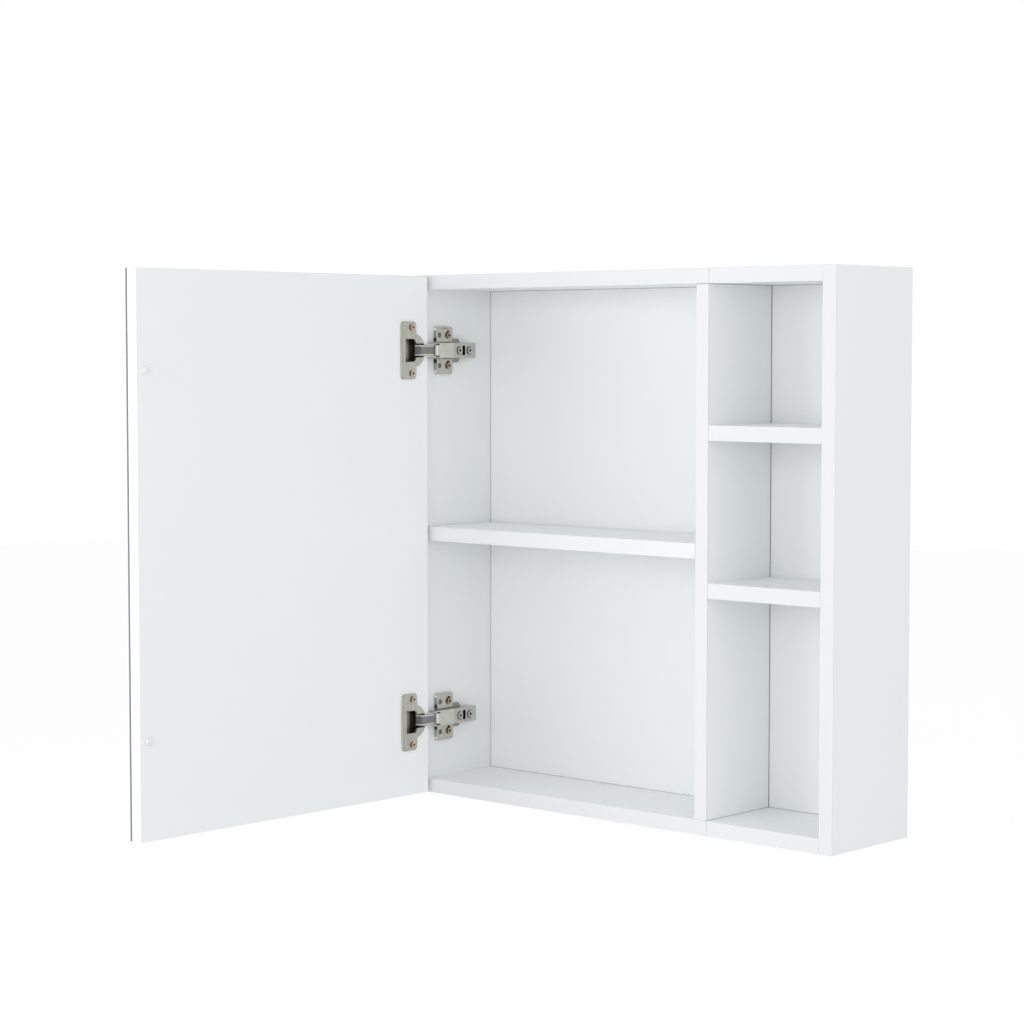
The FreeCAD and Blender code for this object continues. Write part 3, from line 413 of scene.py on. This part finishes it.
# Hanging brackets: two zinc-plated steel plates with keyholes on the back, each held by two screws.
# The CAD plates with eased edges and the spangle of hot zinc.
spangle = Finish("zinc_spangle", Metallic=1.0)
flakes = spangle.place.node("ShaderNodeTexVoronoi", {}, {"Vector": spangle.place, "Scale": 420.0}, "Color")
flake_tone = flakes.axis("X")
spangle.set("Base Color", flake_tone.blend((0.50, 0.52, 0.54, 1), (0.72, 0.74, 0.75, 1)))
spangle.set("Roughness", flake_tone * 0.2 + 0.26)
for bracket in ("left_hanging_bracket", "right_hanging_bracket"):
    eased_piece(bracket, spangle, ease=0.2 * MM)
eased_piece("hanging_screws", screw_steel, ease=0.12 * MM)


# Door board: white melamine on chipboard with banded edges, hung on the cups of the two hinges.
# The CAD board with eased edges; its bands meet the faces in the rounded corner, so no line shows, and the
# band on its free edge is painted a shade lighter than the faces, as painted light.
# Painted light: the door's free edge takes a lighter copy of the white.
DOOR_BAND_LIT_WHITE = (0.935, 0.948, 0.957)
door_white = melamine("white_door")
door_band_lit = melamine("white_door_band", white=DOOR_BAND_LIT_WHITE)
banded(eased_piece("door_board", door_white, ease=0.3 * MM), door_band_lit)


# Mirror: a 3 mm silvered glass sheet held to the door board by strips of foam mounting tape.
# The CAD sheet set face by face: bright silver in front, grey paint behind, and a pale ground edge with the
# dark line of the silvering towards the door.
GROUND_DEEP = 1.3 * MM
GROUND_BLUR = 0.25 * MM
silver = Finish("mirror", Metallic=1.0)
silver.set("Base Color", silver.place.noise(4.0).blend((0.86, 0.885, 0.88, 1), (0.90, 0.92, 0.915, 1)))
silver.set("Roughness", silver.place.noise(30.0, detail=3.0) * 0.012 + 0.012)
grey_paint = Finish("mirror_back", Roughness=0.55)
paint_cloud = grey_paint.place.noise(220.0, detail=3.0)
grey_paint.set("Base Color", paint_cloud.blend((0.16, 0.17, 0.18, 1), (0.24, 0.25, 0.26, 1)))
mirror = eased_piece("mirror_glass", silver, ease=0.3 * MM)
mirror_out = max(mirror.data.polygons, key=lambda face: face.area).normal.copy()
if mirror_out.x > 0:
    mirror_out = -mirror_out
glass_front = max(mirror_out.dot(vertex.co) for vertex in mirror.data.vertices)
glass_edge = Finish("mirror_edge", Specular_IOR_Level=0.6)
edge_grind = glass_edge.place.stretched((1.0, 1.0, 0.08)).noise(1800.0, detail=3.0)
outward = glass_edge.place.vector_math("DOT_PRODUCT", mirror_out, "Value")
ground = outward.ramp(glass_front - GROUND_DEEP, GROUND_BLUR)
silvering = edge_grind.blend((0.19, 0.185, 0.198, 1), (0.28, 0.275, 0.29, 1))
glass_edge.set("Base Color", ground.blend(silvering, (0.88, 0.892, 0.896, 1)))
glass_edge.set("Roughness", edge_grind * 0.25 + 0.22)
repaint(mirror, glass_edge, lambda middle, normal: abs(normal.dot(mirror_out)) <= FACING)
repaint(mirror, grey_paint, lambda middle, normal: normal.dot(mirror_out) < -FACING)
tape_foam = Finish("foam_tape", Roughness=0.85)
tape_cells = tape_foam.place.noise(2500.0)
tape_foam.set("Base Color", tape_cells.blend((0.30, 0.30, 0.29, 1), (0.55, 0.55, 0.53, 1)))
tape_foam.set("Normal", tape_cells.bump(0.05 * MM))
eased_piece("mirror_tape", tape_foam, ease=0.1 * MM)


# Bumpers: two soft stick-on domes near the free edge that meet the carcass when the door shuts.
# The CAD discs with their outer rim rounded to a dome, in milky plastic that lets a little light through.
DOME_FROM, DOME_ROUND = 3.4, 1.8 * MM
door_mesh = frame["nodes"]["door_board"].data
inward = [face for face in door_mesh.polygons if face.normal.x > FACING]
door_inside = max(inward, key=lambda face: face.area)
DOOR_OUT = door_inside.normal.copy()
DOOR_FACE = DOOR_OUT.dot(door_mesh.vertices[door_inside.vertices[0]].co) / MM


def rise(point):
    """How far a point, in mm, stands out of the door's inner face."""
    return DOOR_OUT.dot(point) - DOOR_FACE


milky = Finish("clear_bumper", Transmission_Weight=0.03, IOR=1.42, Specular_IOR_Level=0.3)
milky.set("Base Color", milky.place.noise(300.0).blend((0.862, 0.880, 0.888, 1), (0.882, 0.898, 0.905, 1)))
milky.set("Roughness", milky.place.noise(900.0) * 0.1 + 0.22)
eased_piece("door_bumpers", milky, ease=0.1 * MM,
            roundings=[(lambda point: rise(point) > DOME_FROM, DOME_ROUND, 6)])


# Hinges, fixed half: a cross-shaped mounting plate on the side panel with the arm clamped over its ridge.
# Nickel-plated pressed steel, brushed on the arm; two screws hold the plate and two the arm. The CAD pieces
# with wider roundings on the wings and the arm, flatter arm-screw heads, painted shade in the slots and
# recesses, and painted light and shade on the wings, the shoulder, the nose and around the arm screws.
HINGES = ("upper_", "lower_")
WING_ROUND, NOSE_ROUND, ARM_ROUND = 0.9 * MM, 0.9 * MM, 0.6 * MM
# In mm: places along the arm, distances up or down from its middle, heights and clearances.
TOUCH = 0.05
WING_TOP = INNER_LEFT + 4.4
WING_ROOT, WING_FACING = 8.5, 0.6
WING_END = FRONT + 37.1
HOLE_AT, HOLE_BESIDE, HOLE_CLEAR = FRONT + 16.6, 16.2, 3.2
SCREW_AT, SCREW_BESIDE, SCREW_CLEAR, SCREW_REACH = FRONT + 30.0, 17.0, 3.0, 7.0
ARM_TOP = box_mm("upper_hinge_arm")[1].x
ARM_END = box_mm("upper_hinge_arm")[1].y
ARM_HALF = 8.1
ARM_BEND = FRONT + 29.5
ARM_SCREWS = (FRONT + 40.1, FRONT + 55.5)
NOSE, NOSE_HALF, NOSE_FACING = FRONT + 5.6, 5.6, 0.25
SLOT_AT, SLOT_HALF_WIDE, SLOT_HALF_TALL, SLOT_LIP = FRONT + 46.5, 2.3, 5.1, 0.2
PLATE_HEAD, ARM_HEAD, HEAD_FLATTER = 1.35, 1.2, 0.45
NECK_BESIDE, CORNER_BESIDE = 11.3, 22.4
# Painted shadow: dark rings on the arm around its screws, set a little off their middles.
RING_RADIUS, RING_HALF, RING_SHIFT = 3.9, 0.6, 0.5
RING_SHADE = (0.02, 0.019, 0.017, 1)
plate_boxes = [box_mm(prefix + "mounting_plate") for prefix in HINGES]
HINGE_LEVELS = [(low.z + high.z) / 2 for low, high in plate_boxes]
HINGE_MIDDLE = (HINGE_LEVELS[0] + HINGE_LEVELS[1]) / 2
HINGE_HALF = (HINGE_LEVELS[0] - HINGE_LEVELS[1]) / 2


def touches(measure, place):
    """True where a measure lies on a place, both in mm."""
    return abs(measure - place) < TOUCH


def beside_hinge(place):
    """How far up or down a place lies from the middle of the nearer hinge."""
    return ((place.axis("Z") - HINGE_MIDDLE * MM).size() - HINGE_HALF * MM).size()


def neck_shade(place):
    """1 on the part of a wing's front edge where it turns up to the ridge: painted shade and a painted dark
    reflection.
    """
    return beside_hinge(place).stripe(NECK_BESIDE * MM, 2.0 * MM, crisp=1.6)


def corner_glint(place):
    """1 near the rounded outer corner of a wing's front edge, where a highlight is painted."""
    return beside_hinge(place).stripe(CORNER_BESIDE * MM, 1.2 * MM)


def brushed(name, dark, light, shaded_rear_dark, shaded_rear_light):
    """Nickel with upright brush streaks and painted shadow rings around the screws; behind the bend it is
    painted darker and duller, as shade.
    """
    finish = Finish(name, Metallic=1.0)
    streaks = finish.place.stretched((1.0, 1.0, 0.06)).noise(1300.0, detail=3.0, roughness=0.6)
    patch = finish.place.noise(160.0)
    tone = (streaks * 0.55 + patch * 0.45).clipped()
    # Painted shade: behind the bend the arm takes the darker rear tones.
    rear = finish.place.axis("Y").ramp(ARM_BEND * MM, 2.5 * MM)
    colour = rear.blend(tone.blend(dark, light), tone.blend(shaded_rear_dark, shaded_rear_light))
    flat = finish.place.stretched((0.0, 1.0, 1.0))
    for level in HINGE_LEVELS:
        for screw in ARM_SCREWS:
            middle = (0.0, (screw - RING_SHIFT) * MM, level * MM)
            away = flat.vector_math("DISTANCE", middle, "Value")
            colour = away.stripe(RING_RADIUS * MM, RING_HALF * MM).blend(colour, RING_SHADE)
    finish.set("Base Color", colour)
    finish.set("Roughness", streaks * 0.18 + 0.2)
    finish.set("Normal", streaks.bump(0.008 * MM))
    return finish


arm_nickel = brushed("nickel_brushed", (0.53, 0.52, 0.46, 1), (0.80, 0.785, 0.71, 1),
                     (0.42, 0.415, 0.39, 1), (0.64, 0.63, 0.595, 1))
# Painted highlight: the arm's nose front takes a near-white, barely metallic copy of the nickel.
nose_highlight = plated("nickel_nose_highlight", (0.92, 0.905, 0.89, 1), (0.99, 0.975, 0.96, 1),
                     roughness=0.30, grain=1400.0)
nose_highlight.set("Metallic", 0.15)
# Painted shade: the wings' front faces take a darker copy of the nickel, with a painted dark reflection at
# the neck and a painted highlight near the outer corners.
wing_marks = [(neck_shade, (0.05, 0.055, 0.05, 1)), (corner_glint, (0.95, 0.95, 0.93, 1))]
wing_edge_shaded = plated("nickel_wing_edge", (0.34, 0.355, 0.345, 1), (0.54, 0.56, 0.545, 1),
                   roughness=0.26, grain=1400.0, marks=wing_marks)
# Painted shade: the plate's shoulder behind the wings takes a darker copy of the nickel.
shoulder_shade = plated("nickel_shoulder_shade", (0.255, 0.25, 0.225, 1), (0.41, 0.405, 0.367, 1),
                         roughness=0.26, grain=1400.0)
# Painted shade: near-black for the slots through the arm and the plate and for the arm screws' recesses and
# sides.
recess_shade_steel = plated("nickel_recess_shade", (0.012, 0.010, 0.008, 1), (0.035, 0.030, 0.023, 1),
                    roughness=0.45, grain=1800.0)
screw_brass = plated("screw_brass", (0.38, 0.27, 0.16, 1), (0.64, 0.50, 0.35, 1),
                     roughness=0.24, grain=1600.0)
# Painted shade: the plate screws are dark below the tops of their heads.
screw_shade = plated("screw_shade", (0.05, 0.032, 0.018, 1), (0.14, 0.09, 0.05, 1),
                     roughness=0.36, grain=1600.0)
for prefix, level in zip(HINGES, HINGE_LEVELS):

    def on_wing_rim(point):
        beside = abs(point.z - level)
        by_hole = math.hypot(point.y - HOLE_AT, beside - HOLE_BESIDE) < HOLE_CLEAR
        by_screw = abs(point.y - SCREW_AT) < SCREW_CLEAR and abs(beside - SCREW_BESIDE) < SCREW_REACH
        return touches(point.x, WING_TOP) and beside > WING_ROOT and not by_hole and not by_screw

    def on_arm_rim(point):
        on_side = touches(abs(point.z - level), ARM_HALF)
        return touches(point.x, ARM_TOP) and (on_side or touches(point.y, ARM_END))

    def on_nose(point):
        return touches(point.x, ARM_TOP) and touches(point.y, NOSE)

    def nose_face(middle, normal):
        return normal.y < -NOSE_FACING and abs(middle.z - level) < NOSE_HALF

    def in_slot(middle, normal):
        within = abs(middle.y - SLOT_AT) < SLOT_HALF_WIDE and abs(middle.z - level) < SLOT_HALF_TALL
        return within and middle.x < ARM_TOP - SLOT_LIP

    plate = eased_piece(prefix + "mounting_plate", nickel, ease=0.2 * MM,
                        roundings=[(on_wing_rim, WING_ROUND, 4)])
    repaint(plate, wing_edge_shaded, lambda middle, normal: normal.y < -WING_FACING)
    repaint(plate, shoulder_shade, lambda middle, normal: middle.y > WING_END)
    repaint(plate, recess_shade_steel, in_slot)
    arm = eased_piece(prefix + "hinge_arm", arm_nickel, ease=0.12 * MM,
                      roundings=[(on_nose, NOSE_ROUND, 5), (on_arm_rim, ARM_ROUND, 4)])
    repaint(arm, nose_highlight, nose_face)
    repaint(arm, recess_shade_steel, in_slot)
    eased_piece(prefix + "closing_spring", nickel, ease=0.08 * MM)
    eased_piece(prefix + "arm_pins", nickel, ease=0.1 * MM)
    screws = eased_piece(prefix + "plate_screws", screw_brass, ease=0.2 * MM)
    repaint(screws, screw_shade, lambda middle, normal: middle.x < WING_TOP + PLATE_HEAD)
    screws = eased_piece(prefix + "arm_screws", nickel, ease=0.15 * MM)
    repaint(screws, recess_shade_steel, lambda middle, normal: middle.x < ARM_TOP + ARM_HEAD)
    for vertex in screws.data.vertices:
        vertex.select = vertex.co.x / MM > ARM_TOP + TOUCH
    activate(screws)
    bpy.ops.object.mode_set(mode="EDIT")
    bpy.ops.transform.resize(value=(HEAD_FLATTER, 1, 1), center_override=(ARM_TOP * MM, 0, 0))
    bpy.ops.object.mode_set(mode="OBJECT")


# Hinges, moving half: a pressed cup in the door with a thick flange, two screws, and the levers on its pins.
# Nickel-plated steel with painted shade inside the cup and in the throat; the outer lever is painted dark as
# shade, with painted highlights on its edges and on the flange's rim. The CAD pieces with wider roundings on
# the flange's rim and on the lever's bend and edges.
FLANGE_ROUND, BEND_ROUND, LEVER_ROUND = 0.9 * MM, 3.0 * MM, 0.8 * MM
# In mm: places along the door, heights over its inner face and distances from the hinge's middle.
FLANGE_FRONT = box_mm("upper_hinge_cup")[0].y
FLANGE_TOP, FLANGE_RIM, RIM_FACING = 2.0, 1.2, 0.35
MOUTH_HALF, MOUTH_FROM = 11.2, 5.0
CUP_SCREW_AT, CUP_SCREW_BESIDE, CUP_SCREW_CLEAR = 15.7, 24.0, 2.5
CUP_HEAD = 3.35
CUP_LIP = 0.15
FAR_FLOOR = FLANGE_FRONT + 24.44
THROAT_END = FLANGE_FRONT + 34.0
CREASE = FLANGE_FRONT + 1.5
LEVER_TOP, LEVER_HALF, LEVER_RIM = 1.9, 5.75, 3.9
LEVER_BEND, BEND_PLAY = FLANGE_FRONT + 30.4, 0.3
SLOPE_FROM, STRAP_FROM = -0.5, -3.0
SIDEWAYS = 0.2
LEVER_RIM_HIGHLIGHT = (0.88, 0.865, 0.85, 1)


def flange_crease_shade(place):
    """1 on the line where the flange turns down to its rounded rim, painted dark there as shade."""
    return place.axis("Y").stripe(CREASE * MM, 0.3 * MM, crisp=1.4)


def lever_rim(place):
    """1 on the two long edges of the outer lever, where a highlight is painted."""
    return beside_hinge(place).ramp(LEVER_RIM * MM, 0.4 * MM)


def in_throat(place):
    """1 on the part of the inner levers that lies within the flange, where they are painted dark as shade.
    """
    return place.axis("Y").ramp(THROAT_END * MM, -1.0 * MM)


def on_rim(middle, normal):
    return normal.y < -RIM_FACING and middle.y < FLANGE_FRONT + FLANGE_RIM


def on_slope(middle, normal):
    return rise(middle) < SLOPE_FROM and abs(normal.z) < SIDEWAYS


def on_upper_edge(middle, normal):
    return rise(middle) > SLOPE_FROM and normal.z > SIDEWAYS


cup_nickel = plated("nickel_cup", NICKEL_DARK, NICKEL_LIGHT, roughness=0.20, grain=1400.0,
                    marks=[(flange_crease_shade, (0.267, 0.259, 0.226, 1))])
# Painted highlight: the flange's rounded front rim takes a lighter copy of the nickel.
flange_rim_highlight = plated("nickel_cup_rim_highlight", (0.56, 0.55, 0.51, 1), (0.80, 0.785, 0.735, 1),
                    roughness=0.22, grain=1400.0)
# Painted shade inside the cup: near-black beyond the far end of its floor, a paler nickel on the floor
# itself.
cup_inside_shade = Finish("nickel_cup_inside", Metallic=0.6)
cup_grain = cup_inside_shade.place.noise(900.0, detail=3.0)
cup_dark = cup_grain.blend((0.05, 0.042, 0.03, 1), (0.13, 0.108, 0.078, 1))
cup_pale = cup_grain.blend((0.42, 0.40, 0.35, 1), (0.6, 0.57, 0.5, 1))
near_floor = cup_inside_shade.place.axis("Y").ramp(FAR_FLOOR * MM, -3.0 * MM)
cup_inside_shade.set("Base Color", near_floor.blend(cup_dark, cup_pale))
cup_inside_shade.set("Roughness", cup_grain * 0.2 + 0.34)
# Painted shade: the cup screws are dark brown below the tops of their heads.
screw_side_shade = plated("screw_side_shade", (0.17, 0.12, 0.075, 1), (0.32, 0.24, 0.16, 1),
                    roughness=0.30, grain=1600.0)
# Painted shade: the cup pins and the inner levers take near-black copies of the nickel.
dark_steel = plated("nickel_shade", (0.045, 0.038, 0.028, 1), (0.12, 0.10, 0.075, 1),
                    roughness=0.38, grain=1800.0)
# Painted shade: the outer lever takes a dark grey copy of the nickel.
lever_shade_steel = plated("nickel_lever", (0.19, 0.185, 0.18, 1), (0.39, 0.38, 0.37, 1),
                     roughness=0.34, grain=1500.0, marks=[(lever_rim, LEVER_RIM_HIGHLIGHT)])
# Painted light: the lever's slope into the cup is a less metallic copy, so it shows lighter.
lever_slope_lit = plated("nickel_lever_slope", (0.163, 0.158, 0.153, 1), (0.312, 0.303, 0.295, 1),
                     roughness=0.34, grain=1500.0, marks=[(lever_rim, LEVER_RIM_HIGHLIGHT)])
lever_slope_lit.set("Metallic", 0.25)
# Painted highlight: the inner levers' visible edges take a near-white copy of the nickel, painted dark as
# shade within the flange.
strap_highlight = plated("nickel_strap_highlight", (0.74, 0.725, 0.71, 1), (0.90, 0.885, 0.87, 1),
                      roughness=0.30, grain=1400.0, marks=[(in_throat, (0.02, 0.018, 0.015, 1))])
strap_highlight.set("Metallic", 0.15)
for prefix, level in zip(HINGES, HINGE_LEVELS):

    def on_flange_rim(point):
        beside = abs(point.z - level)
        along = point.y - FLANGE_FRONT
        in_mouth = beside < MOUTH_HALF and along > MOUTH_FROM
        by_screw = math.hypot(along - CUP_SCREW_AT, beside - CUP_SCREW_BESIDE) < CUP_SCREW_CLEAR
        return touches(rise(point), FLANGE_TOP) and not in_mouth and not by_screw

    def on_lever_bend(point):
        return touches(rise(point), LEVER_TOP) and abs(point.y - LEVER_BEND) < BEND_PLAY

    def on_lever_edge(point):
        return touches(rise(point), LEVER_TOP) and touches(abs(point.z - level), LEVER_HALF)

    cup = eased_piece(prefix + "hinge_cup", cup_nickel, ease=0.12 * MM,
                      roundings=[(on_flange_rim, FLANGE_ROUND, 4)])
    repaint(cup, flange_rim_highlight, on_rim)
    repaint(cup, cup_inside_shade, lambda middle, normal: rise(middle) < CUP_LIP)
    eased_piece(prefix + "cup_pins", dark_steel, ease=0.1 * MM)
    screws = eased_piece(prefix + "cup_screws", screw_steel, ease=0.2 * MM)
    repaint(screws, screw_side_shade, lambda middle, normal: rise(middle) < CUP_HEAD)
    lever = eased_piece(prefix + "outer_lever", lever_shade_steel, ease=0.2 * MM,
                        roundings=[(on_lever_bend, BEND_ROUND, 8), (on_lever_edge, LEVER_ROUND, 4)])
    repaint(lever, lever_slope_lit, on_slope)
    # Painted highlight: the lever's upper rounded edges take the bright nickel.
    repaint(lever, nickel, on_upper_edge)
    straps = eased_piece(prefix + "inner_levers", dark_steel, ease=0.1 * MM)
    repaint(straps, strap_highlight, lambda middle, normal: rise(middle) > STRAP_FROM)


# Studio: an even white surround, a pale floor far below, three softboxes in front and one at the right side.
# The softboxes stay out of reflections, so that no hard rectangle shows in the metal or the mirror.
# The camera stands where the photo's stood.
AMBIENT, FRONT_FILL, SIDE_FILL, FLOOR_FILL = 0.68, 0.06, 0.10, 0.06
FLOOR_SIZE, FLOOR_LEVEL = 24.0, -1.3
MIDDLE = (cad_low + cad_high) / 2
CAMERA_PLACE = (1.62805, -2.07191, -0.03517)
CAMERA_DOWN, CAMERA_TURN = math.radians(3.60), math.radians(42.14)
FOCAL_LENGTH, SENSOR_WIDTH = 89.69, 36.0
scene = bpy.context.scene
scene.view_settings.view_transform = "Standard"
world = bpy.data.worlds.new("white_studio")
world.use_nodes = True
backdrop = world.node_tree.nodes["Background"]
backdrop.inputs["Color"].default_value = (1.0, 1.0, 1.0, 1)
sky = world.node_tree.nodes.new("ShaderNodeTexCoord")
direction = Wire(world.node_tree, sky.outputs["Generated"])
glow = AMBIENT - direction.axis("Y") * FRONT_FILL + direction.axis("X") * SIDE_FILL
glow = glow - direction.axis("Z") * FLOOR_FILL
seen = direction.node("ShaderNodeLightPath", {}, {}, "Is Camera Ray")
strength = glow * (1.0 - seen) + seen
world.node_tree.links.new(strength.socket, backdrop.inputs["Strength"])
scene.world = world

bpy.ops.mesh.primitive_plane_add(size=FLOOR_SIZE, location=(0, 0, FLOOR_LEVEL))
floor = bpy.context.object
floor.name = "studio_floor"
floor_finish = Finish("studio_floor", Roughness=0.9, Emission_Strength=0.4)
floor_cloud = floor_finish.place.noise(0.6)
floor_finish.set("Base Color", floor_cloud.blend((0.90, 0.90, 0.90, 1), (0.92, 0.92, 0.92, 1)))
floor_finish.set("Emission Color", (1.0, 1.0, 1.0, 1))
floor.data.materials.append(floor_finish.material)
floor.visible_diffuse = False
floor.visible_glossy = False


def softbox(name, place, side, watts):
    """A broad square light at a place, turned to the middle of the cabinet."""
    bpy.ops.object.light_add(type="AREA", location=place)
    light = bpy.context.object
    light.name = name
    light.data.shape = "SQUARE"
    light.data.size = side
    light.data.energy = watts
    light.visible_glossy = False
    light.rotation_euler = (MIDDLE - light.location).to_track_quat("-Z", "Y").to_euler()


softbox("left_front_softbox", (-0.9, -1.8, 0.0), side=0.9, watts=8.7)
softbox("middle_front_softbox", (0.3, -2.0, 0.0), side=0.9, watts=4.3)
softbox("right_front_softbox", (1.0, -1.8, 0.1), side=0.9, watts=2.2)
softbox("side_softbox", (2.2, -0.6, 0.2), side=1.2, watts=6.0)

camera_data = bpy.data.cameras.new("photo_camera")
camera_data.lens = FOCAL_LENGTH
camera_data.sensor_width = SENSOR_WIDTH
camera_data.clip_start = 0.05
camera = bpy.data.objects.new("photo_camera", camera_data)
camera.location = CAMERA_PLACE
camera.rotation_euler = (math.radians(90) - CAMERA_DOWN, 0, CAMERA_TURN)
scene.collection.objects.link(camera)
scene.camera = camera
